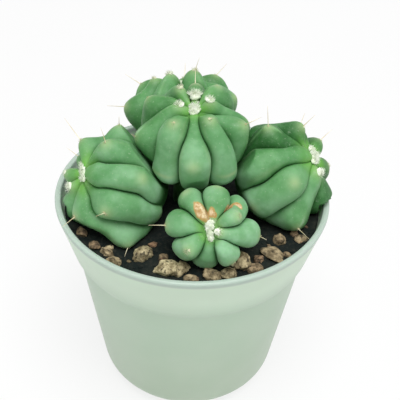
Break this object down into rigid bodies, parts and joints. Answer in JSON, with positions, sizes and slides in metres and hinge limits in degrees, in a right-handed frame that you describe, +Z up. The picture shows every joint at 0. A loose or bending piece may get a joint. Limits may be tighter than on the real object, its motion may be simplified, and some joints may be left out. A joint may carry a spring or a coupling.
{
  "type": "potted cactus",
  "caption": "Clump of ribbed, nearly spineless globe cactus heads in dark gritty soil, in a round tapered plastic nursery pot.",
  "frame": {"origin": "middle of the pot's flat underside, on the surface that it stands on", "axes": "+Z up through the pot; -Y towards the side with the small front head; +X to that side's right"},
  "size_m": [0.095, 0.0964, 0.1195],
  "materials": {
    "pot": "satin",
    "soil": "matte",
    "skin": "satin",
    "wool": "matte",
    "spine": "satin",
    "stone": "matte"
  },
  "bodies": {
    "root": {"pot": "pot", "soil": "soil", "main_head": "skin", "left_head": "skin", "right_head": "skin", "front_head": "skin", "back_head": "skin"}
  },
  "joints": []
}
